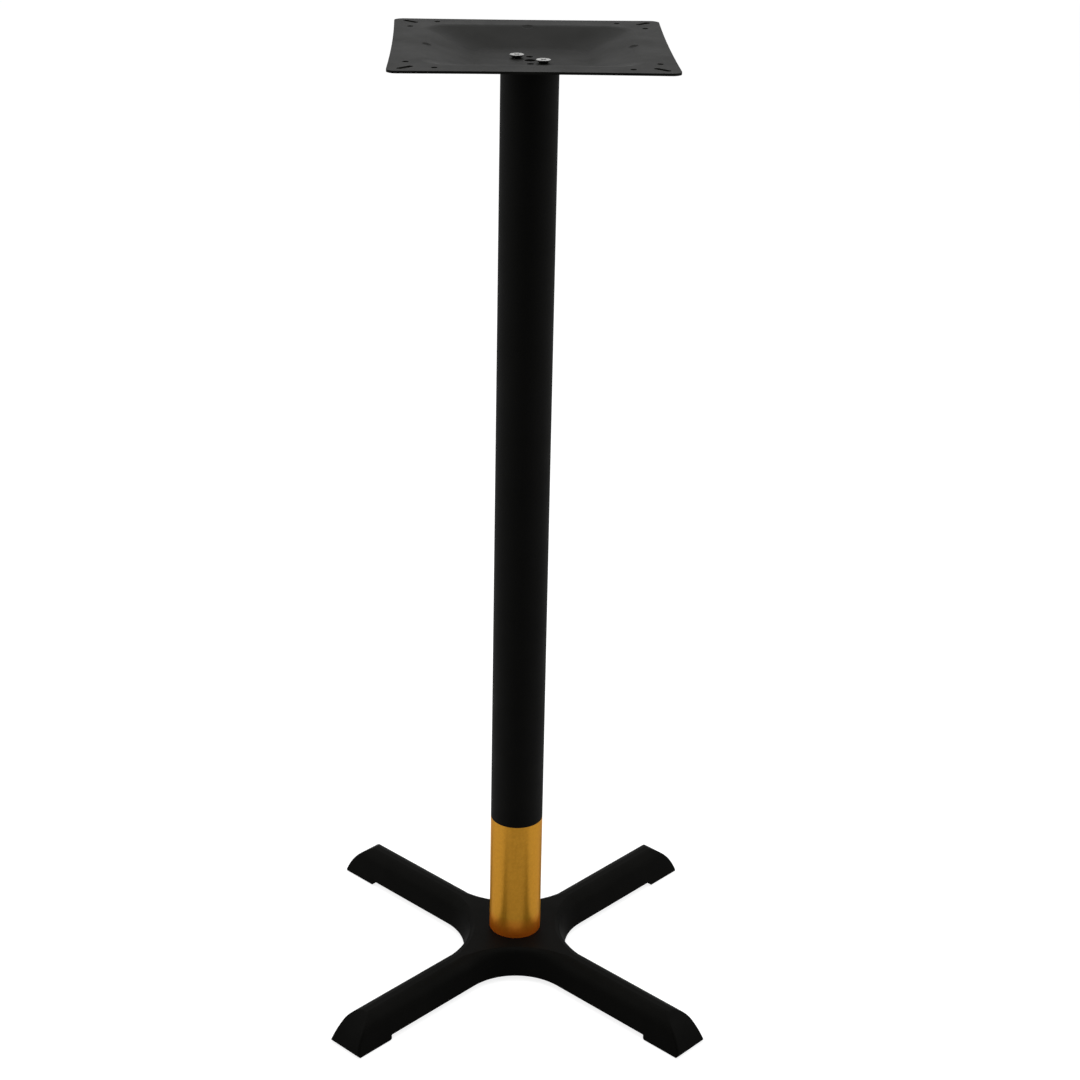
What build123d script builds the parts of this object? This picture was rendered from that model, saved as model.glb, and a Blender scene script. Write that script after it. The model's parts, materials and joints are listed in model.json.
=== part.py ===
from build123d import *
from math import cos, radians, sin, sqrt, tan
import os

os.makedirs("parts", exist_ok=True)

# Bar table base: cast cross foot, gold sleeve, black column, pressed top plate.
# Millimetres, +Z up, floor at Z 0, column on the Z axis, legs on the diagonals.

# overall
total_h = 1080.0
sleeve_top_z = 187.5

# column and sleeve tubes
column_od = 60.0
tube_wall = 1.5

# cast cross base
plateau_z = 38.0
sole_z = 1.5
leg_under_z = 6.5
foot_half = 24.0
leg_draft = 14.6
crest_cut = 0.3
web_radius = 68.0
web_edge_r = 8.5
core_lap = 2.0
core_in = 9.0
leg_reach = 273.0
pad_len = 50.7
nose_len = 31.7
nose_bulge = 5.0
nose_ridge_r = 3.0
toe_bevel = 2.0
pad_root_r = 1.5
pad_end_r = 3.0
leg_wall = 6.5
nose_wall = 19.7
pocket_taper = 20.0
roof_t = 8.0
spigot_h = 6.0
spigot_play = 0.2

# tie rod and the hardware below the hub
rod_d = 10.0
rod_hole_play = 1.0
rod_end_z = 13.0
rod_sunk = 1.0
rod_chamfer = 1.0
tie_washer_od = 30.0
tie_washer_t = 2.5
spring_od = 18.0
spring_t = 2.5
spring_slot = 1.6
nut_af = 17.0
nut_h = 8.0

# joiner ring and top flange
joiner_len = 50.0
joiner_wall = 2.0
flange_t = 8.0

# pressed top plate
plate_side = 282.0
plate_bow = 2.0
plate_corner_r = 10.0
sheet_t = 2.5
dish_depth = 16.0
rim_w = 35.0
dish_mouth_r = 26.0
dish_floor = 116.0
dish_floor_r = 20.0
dish_fold_r = 24.0
hole_edge = 18.0
hole_step = 28.0
hole_d = 6.5
slot_edge = 18.0
slot_len = 20.0
slot_w = 6.5
centre_hole_d = 11.5
spare_hole_d = 7.5
screw_pitch_r = 18.5
screw_turn = 135.0
dent_in = 5.0
dent_r = 14.0
dent_depth = 1.0

# plate screws
screw_d = 8.0
head_d = 14.6
head_rim = 0.7
seat_d = 9.0
screw_below = 2.0
recess_len = 7.6
recess_w = 1.7
recess_depth = 2.0

# levelling glides
glide_room = 4.0
glide_disc_d = 28.0
glide_disc_h = 6.0
glide_edge = 1.2
glide_stud_d = 8.0
glide_stud_len = 18.0
glide_stud_in = 3.5
glide_play = 0.05
glide_hole_over = 3.0
boss_d = 22.0

# values that follow from the sizes above
tube_id = column_od - 2 * tube_wall
draft = radians(leg_draft)
under_half = foot_half - tan(draft) * (leg_under_z - sole_z)
crest_z = plateau_z + crest_cut
crest_half = foot_half - tan(draft) * (crest_z - sole_z)
loaf_r = crest_half * cos(draft) / (1 - sin(draft))
loaf_y = loaf_r * cos(draft)
loaf_z = crest_z - loaf_r + loaf_r * sin(draft)
leg_start = under_half + web_radius
web_centre = sqrt(2) * leg_start
nose_reach = leg_reach + nose_bulge
nose_start_r = leg_reach - nose_len
nose_top_z = crest_z + crest_cut
toe_z = sole_z + toe_bevel
pad_start_r = leg_reach - pad_len
pocket_end_r = leg_reach - nose_wall
glide_r = pocket_end_r - glide_disc_d / 2 - glide_room
leg_edge_in = tan(draft) * (crest_z - leg_under_z)
core_half = web_centre - web_radius - leg_edge_in - core_in
roof_z = plateau_z - roof_t
floor_top_z = total_h - dish_depth
floor_low_z = floor_top_z - sheet_t
nut_top_z = roof_z - tie_washer_t - spring_t
dish_mouth = plate_side - 2 * rim_w
rim_mid = (dish_mouth / 2 + plate_side / 2 - plate_bow) / 2
hole_far = plate_side / 2 - hole_edge
hole_near = hole_far - hole_step
slot_mid = plate_side / 2 - slot_edge
dent_at = dish_mouth / 2 - dent_in
dent_z = total_h - dent_in * dish_depth / (dish_mouth / 2 - dish_floor / 2) - dent_depth
head_cone_h = (head_d - screw_d) / 2
head_low_z = floor_top_z - (seat_d - screw_d) / 2
head_top_z = head_low_z + head_cone_h + head_rim
screw_len = head_low_z - floor_low_z + flange_t + screw_below


# one leg, drawn along +X: drafted sides, round top, convex nose, pad under the toe
with BuildPart() as leg:
    with BuildSketch(Plane.YZ.offset(leg_start)):
        with BuildLine():
            Polyline((-loaf_y, loaf_z), (-foot_half, sole_z), (foot_half, sole_z), (loaf_y, loaf_z))
            ThreePointArc((loaf_y, loaf_z), (0, crest_z), (-loaf_y, loaf_z))
        make_face()
    extrude(amount=nose_reach - leg_start)
    with BuildSketch(Plane.XZ):
        with BuildLine():
            Polyline(
                (leg_reach, toe_z), (leg_reach - toe_bevel, sole_z), (0, sole_z),
                (0, 2 * crest_z), (nose_start_r, 2 * crest_z), (nose_start_r, nose_top_z),
            )
            SagittaArc((nose_start_r, nose_top_z), (leg_reach, toe_z), nose_bulge)
        make_face()
    extrude(amount=2 * foot_half, both=True, mode=Mode.INTERSECT)
    with BuildSketch(Plane.XZ):
        with Locations((pad_start_r, leg_under_z)):
            under = Rectangle(pad_start_r, leg_under_z, align=(Align.MAX, Align.MAX))
        fillet(under.vertices().group_by(Axis.X)[-1].sort_by(Axis.Y)[-1], pad_root_r)
    extrude(amount=2 * foot_half, both=True, mode=Mode.SUBTRACT)
    fillet(leg.edges().filter_by(Axis.Y).group_by(Axis.Z)[0].sort_by(Axis.X)[0], pad_end_r)
    nose = leg.faces().filter_by(GeomType.CYLINDER).sort_by(Axis.X)[-1]
    fillet(nose.edges().sort_by(Axis.Z)[1:], nose_ridge_r)

# one web between two neighbouring legs, drawn about +X: its rounding runs from the
# full round of a leg to a tight edge in the middle of the side
with BuildPart() as web:
    with BuildLine():
        CenterArc((web_centre, 0, leg_under_z), web_radius, 135, 90)
    for turn, edge_r, depth in (
        (135, loaf_r, under_half + core_lap),
        (180, web_edge_r, 2 * under_half),
        (225, loaf_r, under_half + core_lap),
    ):
        out = Vector(cos(radians(turn)), sin(radians(turn)), 0)
        base = Vector(web_centre, 0, 0) + out * web_radius
        with BuildSketch(Plane(origin=base, x_dir=out, z_dir=out.cross(Vector(0, 0, 1)))):
            with BuildLine():
                Polyline(
                    (0, leg_under_z), (leg_edge_in, crest_z), (depth, crest_z), (depth, leg_under_z), close=True
                )
            make_face()
            fillet(vertices().sort_by_distance((leg_edge_in, crest_z))[0], edge_r)
    sweep(multisection=True)

# the casting: legs and webs round a core, planed flat on top, hollow below, with a
# spigot for the sleeve, a seat for the tie rod and a tapped boss in each toe
with BuildPart() as cross_base:
    with PolarLocations(0, 4, start_angle=45):
        add(leg.part)
    with PolarLocations(0, 4):
        add(web.part)
    with BuildSketch(Plane.XY.offset(leg_under_z)):
        with BuildLine():
            for side in range(4):
                ThreePointArc(
                    Vector(leg_start, 0).rotate(Axis.Z, 90 * side - 45),
                    Vector(core_half, 0).rotate(Axis.Z, 90 * side),
                    Vector(leg_start, 0).rotate(Axis.Z, 90 * side + 45),
                )
        make_face()
    extrude(amount=crest_z + core_lap - leg_under_z)
    with BuildSketch(Plane.XY.offset(plateau_z)):
        Rectangle(2 * nose_reach, 2 * nose_reach)
    extrude(amount=2 * core_lap, mode=Mode.SUBTRACT)
    with BuildSketch(Plane.XY.offset(sole_z)) as pocket:
        with PolarLocations(0, 2, start_angle=45, angular_range=180):
            Rectangle(2 * pocket_end_r, 2 * (foot_half - leg_wall))
        crotch = pocket.vertices().group_by(SortBy.DISTANCE)[0]
        fillet(crotch, web_radius)
    extrude(amount=roof_z - sole_z, taper=pocket_taper, mode=Mode.SUBTRACT)
    with BuildSketch(Plane.XY.offset(glide_disc_h)):
        with PolarLocations(glide_r, 4, start_angle=45):
            Circle(boss_d / 2)
    extrude(until=Until.NEXT)
    with BuildSketch(Plane.XY.offset(glide_disc_h)):
        with PolarLocations(glide_r, 4, start_angle=45):
            Circle(glide_stud_d / 2 + glide_play)
    extrude(amount=glide_stud_len + glide_hole_over, mode=Mode.SUBTRACT)
    with BuildSketch(Plane.XY.offset(plateau_z)):
        Circle((tube_id - spigot_play) / 2)
    extrude(amount=spigot_h)
    with BuildSketch(Plane.XY.offset(roof_z)):
        Circle((rod_d + rod_hole_play) / 2)
    extrude(amount=roof_t + spigot_h, mode=Mode.SUBTRACT)
cross_base.part.label = "cross_base"
export_step(cross_base.part, "parts/cross_base.step")

# short gold tube that stands on the casting round the spigot
with BuildPart() as sleeve:
    with BuildSketch(Plane.XY.offset(plateau_z)):
        Circle(column_od / 2)
        Circle(tube_id / 2, mode=Mode.SUBTRACT)
    extrude(amount=sleeve_top_z - plateau_z)
sleeve.part.label = "sleeve"
export_step(sleeve.part, "parts/sleeve.step")

# long black tube, of the same outside size, from the sleeve up to the plate
with BuildPart() as column_tube:
    with BuildSketch(Plane.XY.offset(sleeve_top_z)):
        Circle(column_od / 2)
        Circle(tube_id / 2, mode=Mode.SUBTRACT)
    extrude(amount=floor_low_z - sleeve_top_z)
column_tube.part.label = "column_tube"
export_step(column_tube.part, "parts/column_tube.step")

# ring inside both tubes that keeps their joint in line
with BuildPart() as joiner:
    with BuildSketch(Plane.XY.offset(sleeve_top_z - joiner_len / 2)):
        Circle(tube_id / 2)
        Circle(tube_id / 2 - joiner_wall, mode=Mode.SUBTRACT)
    extrude(amount=joiner_len)
joiner.part.label = "joiner"
export_step(joiner.part, "parts/joiner.step")

# steel disc welded into the top of the column, tapped for the rod and the two screws
with BuildPart() as top_flange:
    with BuildSketch(Plane.XY.offset(floor_low_z - flange_t)):
        Circle(tube_id / 2)
        Circle(rod_d / 2, mode=Mode.SUBTRACT)
        with PolarLocations(screw_pitch_r, 2, start_angle=screw_turn):
            Circle(screw_d / 2, mode=Mode.SUBTRACT)
    extrude(amount=flange_t)
top_flange.part.label = "top_flange"
export_step(top_flange.part, "parts/top_flange.step")

# threaded rod that pulls casting, sleeve and column together
with BuildPart() as tie_rod:
    with BuildSketch(Plane.XY.offset(rod_end_z)):
        Circle(rod_d / 2)
    extrude(amount=floor_low_z - rod_sunk - rod_end_z)
    chamfer(tie_rod.edges().filter_by(GeomType.CIRCLE), rod_chamfer)
tie_rod.part.label = "tie_rod"
export_step(tie_rod.part, "parts/tie_rod.step")

# hardware on the rod below the hub: flat washer, split spring washer, hexagon nut
with BuildPart() as tie_washer:
    with BuildSketch(Plane.XY.offset(roof_z)):
        Circle(tie_washer_od / 2)
        Circle((rod_d + rod_hole_play) / 2, mode=Mode.SUBTRACT)
    extrude(amount=-tie_washer_t)
tie_washer.part.label = "tie_washer"
export_step(tie_washer.part, "parts/tie_washer.step")

with BuildPart() as spring_washer:
    with BuildSketch(Plane.XY.offset(roof_z - tie_washer_t)):
        Circle(spring_od / 2)
        Circle((rod_d + rod_hole_play) / 2, mode=Mode.SUBTRACT)
        Rectangle(spring_od, spring_slot, align=(Align.MIN, Align.CENTER), mode=Mode.SUBTRACT)
    extrude(amount=-spring_t)
spring_washer.part.label = "spring_washer"
export_step(spring_washer.part, "parts/spring_washer.step")

with BuildPart() as tie_nut:
    with BuildSketch(Plane.XY.offset(nut_top_z)):
        RegularPolygon(nut_af / 2, 6, major_radius=False)
        Circle(rod_d / 2, mode=Mode.SUBTRACT)
    extrude(amount=-nut_h)
tie_nut.part.label = "tie_nut"
export_step(tie_nut.part, "parts/tie_nut.step")

# pressed top plate: flat rim with drawn-in sides, a square dish with soft folds, eight
# round holes and four diagonal slots in the rim, a hole group over the column
with BuildPart() as top_plate:
    with BuildSketch(Plane.XY.offset(total_h)) as rim:
        with BuildLine():
            for side in range(4):
                ThreePointArc(
                    Vector(plate_side / 2, -plate_side / 2).rotate(Axis.Z, 90 * side),
                    Vector(plate_side / 2 - plate_bow, 0).rotate(Axis.Z, 90 * side),
                    Vector(plate_side / 2, plate_side / 2).rotate(Axis.Z, 90 * side),
                )
        make_face()
        fillet(rim.vertices(), plate_corner_r)
    extrude(amount=-sheet_t)
    for level, mode in ((total_h - sheet_t, Mode.ADD), (total_h, Mode.SUBTRACT)):
        with BuildSketch(Plane.XY.offset(level)):
            RectangleRounded(dish_mouth, dish_mouth, dish_mouth_r)
        with BuildSketch(Plane.XY.offset(level - dish_depth)):
            RectangleRounded(dish_floor, dish_floor, dish_floor_r)
        loft(mode=mode)
    for level, fold_r in (
        (total_h, dish_fold_r + sheet_t),
        (total_h - sheet_t, dish_fold_r),
        (floor_top_z, dish_fold_r),
        (floor_low_z, dish_fold_r + sheet_t),
    ):
        fold = top_plate.edges().filter_by(Plane.XY).filter_by_position(Axis.Z, level - 0.1, level + 0.1)
        fold = fold.filter_by_position(Axis.X, -rim_mid, rim_mid).filter_by_position(Axis.Y, -rim_mid, rim_mid)
        fillet(fold, fold_r)
    with BuildSketch(Plane.XY.offset(total_h)):
        with GridLocations(2 * hole_near, 2 * hole_far, 2, 2):
            Circle(hole_d / 2)
        with GridLocations(2 * hole_far, 2 * hole_near, 2, 2):
            Circle(hole_d / 2)
        with PolarLocations(sqrt(2) * slot_mid, 4, start_angle=45):
            SlotOverall(slot_len, slot_w)
        Circle(centre_hole_d / 2)
        with PolarLocations(screw_pitch_r, 2, start_angle=90):
            Circle(spare_hole_d / 2)
        with PolarLocations(screw_pitch_r, 2, start_angle=screw_turn):
            Circle(seat_d / 2)
    extrude(amount=-dish_depth - 2 * sheet_t, mode=Mode.SUBTRACT)
    with PolarLocations(dent_at, 4):
        with Locations((0, 0, dent_z + dent_r)):
            Sphere(dent_r, mode=Mode.SUBTRACT)
top_plate.part.label = "top_plate"
export_step(top_plate.part, "parts/top_plate.step")

# two countersunk cross-recess screws that stand proud on plain holes
with BuildPart() as plate_screws:
    with PolarLocations(screw_pitch_r, 2, start_angle=screw_turn):
        with Locations((0, 0, head_low_z)):
            Cone(screw_d / 2, head_d / 2, head_cone_h, align=(Align.CENTER, Align.CENTER, Align.MIN))
            Cylinder(screw_d / 2, screw_len, align=(Align.CENTER, Align.CENTER, Align.MAX))
        with Locations((0, 0, head_top_z)):
            Cylinder(head_d / 2, head_rim, align=(Align.CENTER, Align.CENTER, Align.MAX))
            for turn in (0, 90):
                Box(
                    recess_len, recess_w, recess_depth, rotation=(0, 0, turn),
                    align=(Align.CENTER, Align.CENTER, Align.MAX), mode=Mode.SUBTRACT,
                )
plate_screws.part.label = "plate_screws"
export_step(plate_screws.part, "parts/plate_screws.step")

# four levelling glides: a plastic pad moulded on a threaded stud
for corner, turn in (("br", 45), ("bl", 135), ("fl", 225), ("fr", 315)):
    with BuildPart() as glide_pad:
        with PolarLocations(glide_r, 1, start_angle=turn):
            Cylinder(glide_disc_d / 2, glide_disc_h, align=(Align.CENTER, Align.CENTER, Align.MIN))
            chamfer(glide_pad.edges().group_by(Axis.Z)[0], glide_edge)
            with Locations((0, 0, glide_disc_h)):
                Cylinder(
                    glide_stud_d / 2, glide_stud_in, mode=Mode.SUBTRACT,
                    align=(Align.CENTER, Align.CENTER, Align.MAX),
                )
    glide_pad.part.label = "glide_pad_" + corner
    export_step(glide_pad.part, "parts/glide_pad_" + corner + ".step")

    with BuildPart() as glide_stud:
        with PolarLocations(glide_r, 1, start_angle=turn):
            with Locations((0, 0, glide_disc_h - glide_stud_in)):
                Cylinder(
                    glide_stud_d / 2, glide_stud_in + glide_stud_len,
                    align=(Align.CENTER, Align.CENTER, Align.MIN),
                )
    glide_stud.part.label = "glide_stud_" + corner
    export_step(glide_stud.part, "parts/glide_stud_" + corner + ".step")
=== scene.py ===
import json
import math
import bpy
import bmesh
from mathutils import Matrix, Vector


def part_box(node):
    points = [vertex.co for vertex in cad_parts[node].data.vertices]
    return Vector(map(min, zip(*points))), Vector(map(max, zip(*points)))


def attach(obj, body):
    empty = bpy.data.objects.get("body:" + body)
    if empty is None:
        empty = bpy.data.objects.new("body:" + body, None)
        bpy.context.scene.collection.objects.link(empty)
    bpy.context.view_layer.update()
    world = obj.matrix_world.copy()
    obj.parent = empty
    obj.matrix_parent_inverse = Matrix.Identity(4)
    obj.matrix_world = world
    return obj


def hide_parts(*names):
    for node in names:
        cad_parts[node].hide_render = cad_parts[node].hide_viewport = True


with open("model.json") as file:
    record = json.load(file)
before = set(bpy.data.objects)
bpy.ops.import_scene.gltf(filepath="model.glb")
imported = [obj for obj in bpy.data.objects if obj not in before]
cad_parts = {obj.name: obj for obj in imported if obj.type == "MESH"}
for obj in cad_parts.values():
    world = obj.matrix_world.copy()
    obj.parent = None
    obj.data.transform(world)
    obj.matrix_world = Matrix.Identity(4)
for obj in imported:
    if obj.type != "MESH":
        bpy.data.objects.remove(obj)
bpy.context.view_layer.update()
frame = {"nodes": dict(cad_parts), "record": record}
nodes = frame["nodes"]
scene = bpy.context.scene


# Materials. Every one is procedural and works in object space, in metres.

def new_material(name):
    mat = bpy.data.materials.new(name)
    mat.use_nodes = True
    tree = mat.node_tree
    tree.nodes.clear()
    out = tree.nodes.new("ShaderNodeOutputMaterial")
    bsdf = tree.nodes.new("ShaderNodeBsdfPrincipled")
    tree.links.new(bsdf.outputs[0], out.inputs["Surface"])
    return mat, tree, bsdf


def noise(tree, scale, detail=2.0, rough=0.5):
    """Noise in object space; scale is features per metre."""
    coord = tree.nodes.new("ShaderNodeTexCoord")
    tex = tree.nodes.new("ShaderNodeTexNoise")
    tex.inputs["Scale"].default_value = scale
    tex.inputs["Detail"].default_value = detail
    tex.inputs["Roughness"].default_value = rough
    tree.links.new(coord.outputs["Object"], tex.inputs["Vector"])
    return tex.outputs["Fac"]


def spread(tree, source, low, high, at=(0.3, 0.7)):
    """A number that runs from low to high while the source runs over the range at."""
    node = tree.nodes.new("ShaderNodeMapRange")
    node.inputs["From Min"].default_value, node.inputs["From Max"].default_value = at
    node.inputs["To Min"].default_value = low
    node.inputs["To Max"].default_value = high
    tree.links.new(source, node.inputs["Value"])
    return node.outputs["Result"]


def tint(tree, source, low, high, at=(0.3, 0.7)):
    """A colour that runs from low to high while the source runs over the range at."""
    node = tree.nodes.new("ShaderNodeValToRGB")
    ramp = node.color_ramp
    ramp.elements[0].position, ramp.elements[1].position = at
    ramp.elements[0].color = (*low, 1.0)
    ramp.elements[1].color = (*high, 1.0)
    tree.links.new(source, node.inputs["Fac"])
    return node.outputs["Color"]


def relief(tree, bsdf, source, strength, height):
    """Fine bumps, height in metres."""
    node = tree.nodes.new("ShaderNodeBump")
    node.inputs["Strength"].default_value = strength
    node.inputs["Distance"].default_value = height
    tree.links.new(source, node.inputs["Height"])
    tree.links.new(node.outputs["Normal"], bsdf.inputs["Normal"])


def powder_coat(name, low, high, rough, specular, grain, height):
    """Matt black powder coat: fine grain, slight change of tone and gloss from place to place."""
    rough_change = 0.04
    mat, tree, bsdf = new_material(name)
    patches = noise(tree, scale=22.0, detail=4.0, rough=0.6)
    gloss = spread(tree, patches, rough + rough_change, rough - rough_change)
    tree.links.new(tint(tree, patches, low, high), bsdf.inputs["Base Color"])
    tree.links.new(gloss, bsdf.inputs["Roughness"])
    bsdf.inputs["Specular IOR Level"].default_value = specular
    bsdf.inputs["Specular Tint"].default_value = (1.0, 1.0, 0.92, 1.0)
    bumps = noise(tree, scale=grain, detail=3.0, rough=0.55)
    relief(tree, bsdf, bumps, strength=0.35, height=height)
    return mat


def plated(name, low, high, rough):
    """Bright plated steel with a faint cloud in colour and gloss."""
    rough_change = 0.06
    mat, tree, bsdf = new_material(name)
    cloud = noise(tree, scale=120.0, detail=3.0, rough=0.6)
    gloss = spread(tree, cloud, rough - rough_change, rough + rough_change)
    tree.links.new(tint(tree, cloud, low, high), bsdf.inputs["Base Color"])
    tree.links.new(gloss, bsdf.inputs["Roughness"])
    bsdf.inputs["Metallic"].default_value = 1.0
    relief(tree, bsdf, noise(tree, scale=900.0), strength=0.2, height=0.00002)
    return mat


def satin_gold(name, low, high, painted_shade, foot_z, fade):
    """Satin gold lacquer on metal; at its lower end, just above the casting, it goes over to a
    reddish colour that is painted shade.
    """
    mat, tree, bsdf = new_material(name)
    cloud = noise(tree, scale=260.0, detail=5.0, rough=0.85)
    gold = tint(tree, cloud, low, high, at=(0.35, 0.65))
    coord = tree.nodes.new("ShaderNodeTexCoord")
    split = tree.nodes.new("ShaderNodeSeparateXYZ")
    tree.links.new(coord.outputs["Object"], split.inputs[0])
    # Painted shade: the colour is reddish at the sleeve's lower end, where it meets the casting,
    # and turns to gold over the height fade.
    mix = tree.nodes.new("ShaderNodeMix")
    mix.data_type = "RGBA"
    mix.inputs["A"].default_value = (*painted_shade, 1.0)
    tree.links.new(gold, mix.inputs["B"])
    above_foot = spread(tree, split.outputs["Z"], low=0.0, high=1.0, at=(foot_z, foot_z + fade))
    tree.links.new(above_foot, mix.inputs["Factor"])
    tree.links.new(mix.outputs["Result"], bsdf.inputs["Base Color"])
    tree.links.new(spread(tree, cloud, low=0.30, high=0.35), bsdf.inputs["Roughness"])
    bsdf.inputs["Metallic"].default_value = 0.65
    bsdf.inputs["Specular IOR Level"].default_value = 0.0
    bsdf.inputs["Specular Tint"].default_value = (0.9, 0.62, 0.2, 1.0)
    bsdf.inputs["Coat Weight"].default_value = 0.35
    bsdf.inputs["Coat Roughness"].default_value = 0.3
    relief(tree, bsdf, noise(tree, scale=1400.0), strength=0.15, height=0.00002)
    return mat


def nylon(name, low, high):
    """Dull black plastic of the glide pads."""
    mat, tree, bsdf = new_material(name)
    cloud = noise(tree, scale=90.0, detail=3.0)
    tree.links.new(tint(tree, cloud, low, high), bsdf.inputs["Base Color"])
    tree.links.new(spread(tree, cloud, low=0.42, high=0.55), bsdf.inputs["Roughness"])
    bsdf.inputs["Specular IOR Level"].default_value = 0.25
    relief(tree, bsdf, noise(tree, scale=1500.0), strength=0.2, height=0.00003)
    return mat


looks = {
    "casting_black": powder_coat(
        "casting_black", low=(0.0033, 0.0033, 0.0030), high=(0.0043, 0.0043, 0.0039),
        rough=0.52, specular=0.028, grain=700.0, height=0.00010,
    ),
    "column_black": powder_coat(
        "column_black", low=(0.0021, 0.0021, 0.0020), high=(0.0027, 0.0027, 0.0026),
        rough=0.62, specular=0.085, grain=1100.0, height=0.00005,
    ),
    "plate_black": powder_coat(
        "plate_black", low=(0.0046, 0.0046, 0.0042), high=(0.0060, 0.0060, 0.0055),
        rough=0.5, specular=0.080, grain=800.0, height=0.00009,
    ),
    "sleeve_gold": satin_gold(
        "sleeve_gold", low=(0.76, 0.342, 0.022), high=(0.88, 0.415, 0.032),
        # The colour at the sleeve's lower end is painted shade, reddish where the sleeve meets the
        # casting.
        painted_shade=(0.96, 0.19, 0.009), foot_z=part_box("sleeve")[0][2], fade=0.027,
    ),
    "screw_bright": plated(
        "screw_bright", low=(0.46, 0.46, 0.45), high=(0.58, 0.58, 0.56), rough=0.26
    ),
    "steel_zinc": plated(
        "steel_zinc", low=(0.47, 0.48, 0.49), high=(0.58, 0.59, 0.60), rough=0.34
    ),
    "steel_bare": plated(
        "steel_bare", low=(0.26, 0.26, 0.26), high=(0.36, 0.36, 0.35), rough=0.42
    ),
    "pad_black": nylon("pad_black", low=(0.008, 0.008, 0.008), high=(0.013, 0.013, 0.012)),
}
slot_of = {part["node"]: part["material_slot"] for part in frame["record"]["subparts"]}
for name, obj in nodes.items():
    obj.data.materials.clear()
    obj.data.materials.append(looks[slot_of[name]])


# Threads and chamfers that the solids leave out. Each piece takes its place and size from
# the solid that it stands for.

around = 48                      # points in each ring
rings_per_turn = 6               # rings in one pitch of a thread
thread_depth = 0.6               # share of the pitch
nut_face = 0.97                  # radius of the nut's flat face, share of its half width
nut_chamfer = math.radians(30)
sharp_edge = math.radians(35)    # edges over this angle stay sharp

rod_pitch, rod_chamfer = 0.0015, 0.001
rod_thread_below, rod_thread_above = 0.045, 0.030
nut_lead = 0.0006
stud_pitch, stud_chamfer = 0.00125, 0.0008
stud_plain = 0.0045              # length without thread, in the pad


def middle(low, high):
    return (low[0] + high[0]) / 2, (low[1] + high[1]) / 2


def circle(radius, z, centre):
    turns = [2 * math.pi * step / around for step in range(around)]
    return [(centre[0] + radius * math.cos(t), centre[1] + radius * math.sin(t), z) for t in turns]


def skin(name, rings, ring_shaped, node):
    """A closed mesh through rings of points, in place of one solid and on that solid's body."""
    mesh = bpy.data.meshes.new(name)
    bm = bmesh.new()
    rows = [[bm.verts.new(point) for point in ring] for ring in rings]
    pairs = list(zip(rows, rows[1:]))
    if ring_shaped:
        pairs.append((rows[-1], rows[0]))
    else:
        bm.faces.new(rows[0])
        bm.faces.new(rows[-1])
    for low, high in pairs:
        for step in range(around):
            after = (step + 1) % around
            bm.faces.new((low[step], low[after], high[after], high[step]))
    bmesh.ops.recalc_face_normals(bm, faces=bm.faces)
    bm.to_mesh(mesh)
    bm.free()
    mesh.shade_smooth()
    mesh.set_sharp_from_angle(angle=sharp_edge)
    mesh.materials.append(looks[slot_of[node]])
    piece = bpy.data.objects.new(name, mesh)
    scene.collection.objects.link(piece)
    bodies = frame["record"]["behaviour"]["bodies"]
    body = next(b for b, members in bodies.items() if node in members)
    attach(piece, body)
    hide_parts(node)


def threaded(name, node, pitch, threads, chamfer):
    """A rod with a V thread on the given lengths (low, high) and a plain shank elsewhere."""
    low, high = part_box(node)
    centre = middle(low, high)
    radius = (high[0] - low[0]) / 2
    depth = thread_depth * pitch
    heights = {low[2], low[2] + chamfer, high[2] - chamfer, high[2]}
    for start, end in threads:
        count = round((end - start) / pitch * rings_per_turn)
        heights.update(start + (end - start) * step / count for step in range(count + 1))
    rings = []
    for z in sorted(heights):
        cut = max(0.0, chamfer - min(z - low[2], high[2] - z))
        on_thread = any(start <= z <= end for start, end in threads)
        ring = []
        for step in range(around):
            phase = (z / pitch - step / around) % 1.0
            groove = depth * abs(2 * phase - 1) if on_thread else 0.0
            r = radius - max(groove, cut)
            angle = 2 * math.pi * step / around
            ring.append((centre[0] + r * math.cos(angle), centre[1] + r * math.sin(angle), z))
        rings.append(ring)
    skin(name, rings, ring_shaped=False, node=node)


def hexagon_nut(name, node, bore, lead):
    """A hexagon nut, its corners turned off at both faces and its bore opened at both ends."""
    low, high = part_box(node)
    centre = middle(low, high)
    half_x, half_y = (high[0] - low[0]) / 2, (high[1] - low[1]) / 2
    flat = min(half_x, half_y)
    face = nut_face * flat
    first_corner = 0.0 if half_x > half_y else math.pi / 6
    outer_low, outer_high = [], []
    for step in range(around):
        angle = 2 * math.pi * step / around
        off_flat = (angle - first_corner) % (math.pi / 3) - math.pi / 6
        r = flat / math.cos(off_flat)
        fall = (r - face) * math.tan(nut_chamfer)
        x, y = centre[0] + r * math.cos(angle), centre[1] + r * math.sin(angle)
        outer_low.append((x, y, low[2] + fall))
        outer_high.append((x, y, high[2] - fall))
    rings = [
        circle(bore, low[2] + lead, centre), circle(bore + lead, low[2], centre),
        circle(face, low[2], centre), outer_low, outer_high,
        circle(face, high[2], centre), circle(bore + lead, high[2], centre),
        circle(bore, high[2] - lead, centre),
    ]
    skin(name, rings, ring_shaped=True, node=node)


rod_low, rod_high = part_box("tie_rod")
rod_radius = (rod_high[0] - rod_low[0]) / 2
rod_threads = (
    (rod_low[2], rod_low[2] + rod_thread_below),
    (rod_high[2] - rod_thread_above, rod_high[2]),
)
threaded("tie_rod_threads", "tie_rod", rod_pitch, rod_threads, rod_chamfer)
hexagon_nut("tie_nut_hexagon", "tie_nut", rod_radius, nut_lead)
for corner in ("fl", "fr", "bl", "br"):
    stud = "glide_stud_" + corner
    stud_low, stud_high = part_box(stud)
    stud_threads = ((stud_low[2] + stud_plain, stud_high[2]),)
    threaded("glide_thread_" + corner, stud, stud_pitch, stud_threads, stud_chamfer)


# Stage: a pale floor that keeps the shadow, white all round, soft light from above. The
# photographer's side (-Y) is left dark in reflections, as in a studio.

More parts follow.
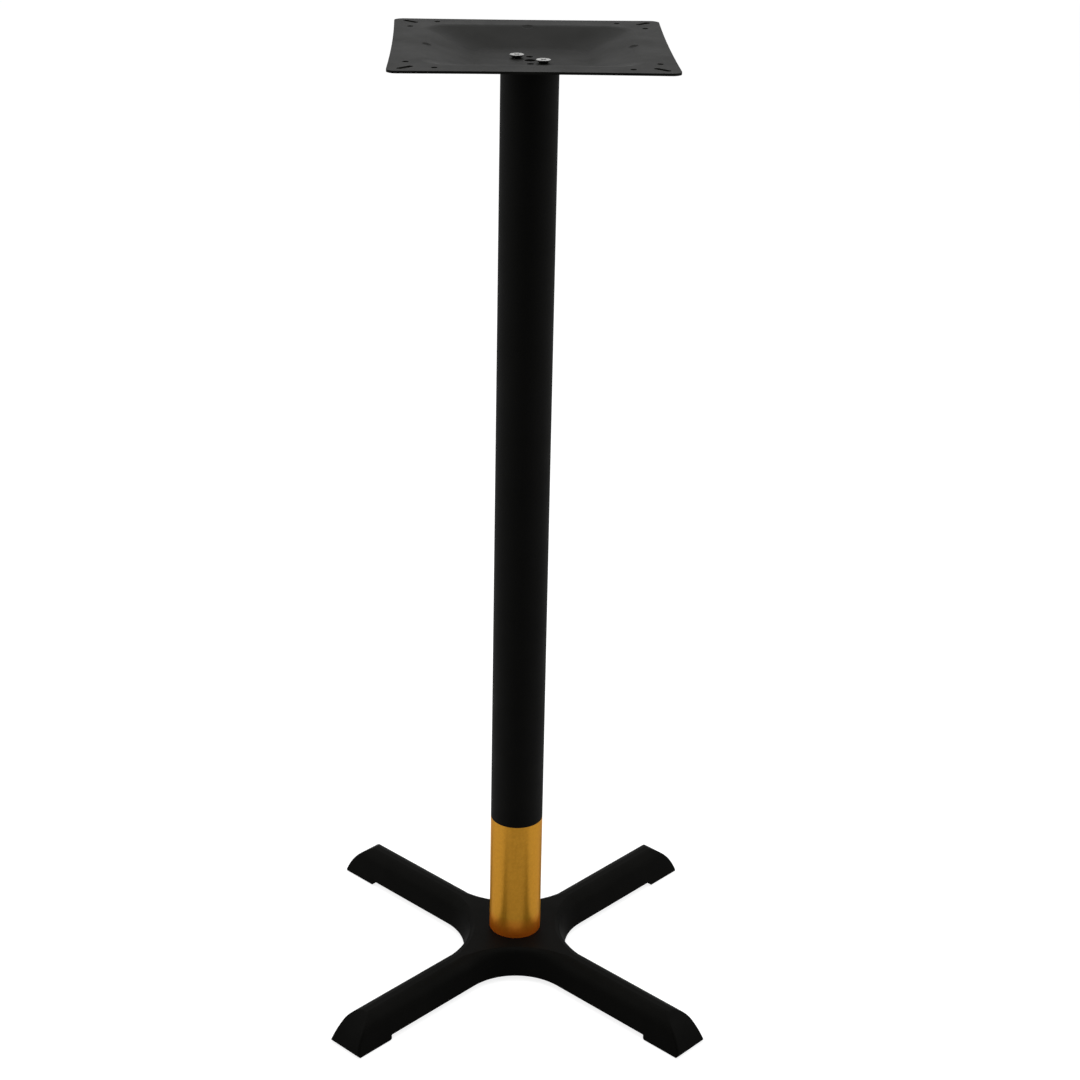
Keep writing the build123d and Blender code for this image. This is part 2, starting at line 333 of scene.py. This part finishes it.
floor_half, floor_grey = 12.0, 0.42
white_floor, mirrored_floor = 0.82, 0.25
white_world, mirrored_world, world_light = 1.0, 0.8, 0.44
front_dark = 0.1                            # what reflections keep of the photographer's side
dark_from, dark_full = math.radians(55), math.radians(10)    # angles from -Y


def vector_node(tree, operation, source, other=(0.0, 0.0, 0.0)):
    node = tree.nodes.new("ShaderNodeVectorMath")
    node.operation = operation
    node.inputs[1].default_value = other
    tree.links.new(source, node.inputs[0])
    return node


def ray_strength(tree, direction, direct, mirrored, bounced):
    """Strength for rays seen directly, mirrored (less towards the dark side) or bounced."""
    path = tree.nodes.new("ShaderNodeLightPath")
    level = vector_node(tree, "MULTIPLY", direction, (1.0, 1.0, 0.0))
    unit = vector_node(tree, "NORMALIZE", level.outputs[0])
    toward = vector_node(tree, "DOT_PRODUCT", unit.outputs[0], (0.0, -1.0, 0.0))
    keep = tree.nodes.new("ShaderNodeMapRange")
    keep.interpolation_type = "SMOOTHSTEP"
    keep.inputs["From Min"].default_value = math.cos(dark_from)
    keep.inputs["From Max"].default_value = math.cos(dark_full)
    keep.inputs["To Min"].default_value = 1.0
    keep.inputs["To Max"].default_value = front_dark
    tree.links.new(toward.outputs["Value"], keep.inputs["Value"])
    dimmed = tree.nodes.new("ShaderNodeMath")
    dimmed.operation = "MULTIPLY"
    tree.links.new(path.outputs["Is Glossy Ray"], dimmed.inputs[0])
    tree.links.new(keep.outputs["Result"], dimmed.inputs[1])
    total = None
    for ray, strength in (
        (path.outputs["Is Camera Ray"], direct),
        (path.outputs["Is Transmission Ray"], direct),
        (dimmed.outputs[0], mirrored),
        (path.outputs["Is Diffuse Ray"], bounced),
    ):
        step = tree.nodes.new("ShaderNodeMath")
        step.operation = "MULTIPLY_ADD"
        step.inputs[1].default_value = strength
        step.inputs[2].default_value = 0.0
        tree.links.new(ray, step.inputs[0])
        if total:
            tree.links.new(total, step.inputs[2])
        total = step.outputs[0]
    return total


world = bpy.data.worlds.new("studio")
scene.world = world
world.use_nodes = True
tree = world.node_tree
tree.nodes.clear()
world_out = tree.nodes.new("ShaderNodeOutputWorld")
background = tree.nodes.new("ShaderNodeBackground")
background.inputs["Color"].default_value = (1.0, 1.0, 1.0, 1.0)
coord = tree.nodes.new("ShaderNodeTexCoord")
strength = ray_strength(
    tree, coord.outputs["Generated"], direct=white_world, mirrored=mirrored_world,
    bounced=world_light,
)
tree.links.new(strength, background.inputs["Strength"])
tree.links.new(background.outputs[0], world_out.inputs["Surface"])

floor_mesh = bpy.data.meshes.new("floor")
bm = bmesh.new()
bmesh.ops.create_grid(bm, x_segments=2, y_segments=2, size=floor_half)
bm.to_mesh(floor_mesh)
bm.free()
floor = bpy.data.objects.new("floor", floor_mesh)
scene.collection.objects.link(floor)

# The floor's upper side is matt with a glow of its own; from below it can be seen through.
floor_mat = bpy.data.materials.new("floor_pale")
floor_mat.use_nodes = True
tree = floor_mat.node_tree
tree.nodes.clear()
floor_out = tree.nodes.new("ShaderNodeOutputMaterial")
matt = tree.nodes.new("ShaderNodeBsdfDiffuse")
matt.inputs["Color"].default_value = (floor_grey, floor_grey, floor_grey, 1.0)
glow = tree.nodes.new("ShaderNodeEmission")
place = tree.nodes.new("ShaderNodeNewGeometry")
strength = ray_strength(
    tree, place.outputs["Position"], direct=white_floor, mirrored=mirrored_floor, bounced=0.0
)
tree.links.new(strength, glow.inputs["Strength"])
both = tree.nodes.new("ShaderNodeAddShader")
clear = tree.nodes.new("ShaderNodeBsdfTransparent")
one_sided = tree.nodes.new("ShaderNodeMixShader")
tree.links.new(matt.outputs[0], both.inputs[0])
tree.links.new(glow.outputs[0], both.inputs[1])
tree.links.new(place.outputs["Backfacing"], one_sided.inputs["Fac"])
tree.links.new(both.outputs[0], one_sided.inputs[1])
tree.links.new(clear.outputs[0], one_sided.inputs[2])
tree.links.new(one_sided.outputs[0], floor_out.inputs["Surface"])
floor_mesh.materials.append(floor_mat)


def soft_light(name, place, target, size, power):
    """A rectangular lamp that faces the target; power in watts."""
    lamp = bpy.data.lights.new(name, "AREA")
    lamp.shape = "RECTANGLE"
    lamp.size, lamp.size_y = size
    lamp.energy = power
    obj = bpy.data.objects.new(name, lamp)
    obj.location = place
    obj.rotation_euler = (Vector(target) - Vector(place)).to_track_quat("-Z", "Y").to_euler()
    scene.collection.objects.link(obj)


soft_light(
    "top_soft", place=(0.0, 0.3, 3.2), target=(0.0, 0.0, 0.3), size=(3.0, 3.0), power=45.0
)
for name, side in (("left_soft", -1.0), ("right_soft", 1.0)):
    soft_light(
        name, place=(2.4 * side, 0.2, 1.9), target=(0.0, 0.0, 0.4), size=(1.6, 2.2), power=12.0
    )

# Camera, fitted to the outline of plate, column and foot in the photograph.
frame_px, sensor_mm = 1080.0, 36.0
turn, pan, pitch, roll = -0.0317, 0.0062, 0.39136, 0.0154    # radians
away, high = 2.1714, 1.4845                                  # from the axis, above the floor
focal_px = 2150.1
shift_x_px, shift_y_px = 30.0, -44.0

heading = turn + pan
forward = Vector((
    -math.sin(heading) * math.cos(pitch),
    math.cos(heading) * math.cos(pitch),
    -math.sin(pitch),
))
level_right = Vector((math.cos(heading), math.sin(heading), 0.0))
level_up = level_right.cross(forward)
right = math.cos(roll) * level_right + math.sin(roll) * level_up
up = math.cos(roll) * level_up - math.sin(roll) * level_right
eye = Vector((away * math.sin(turn), -away * math.cos(turn), high))

lens = bpy.data.cameras.new("camera")
lens.sensor_width = sensor_mm
lens.lens = focal_px * sensor_mm / frame_px
lens.shift_x = shift_x_px / frame_px
lens.shift_y = shift_y_px / frame_px
camera = bpy.data.objects.new("camera", lens)
scene.collection.objects.link(camera)
turned = Matrix((right, up, -forward)).transposed().to_4x4()
camera.matrix_world = Matrix.Translation(eye) @ turned
scene.camera = camera

scene.view_settings.view_transform = "Standard"

bpy.context.view_layer.update()
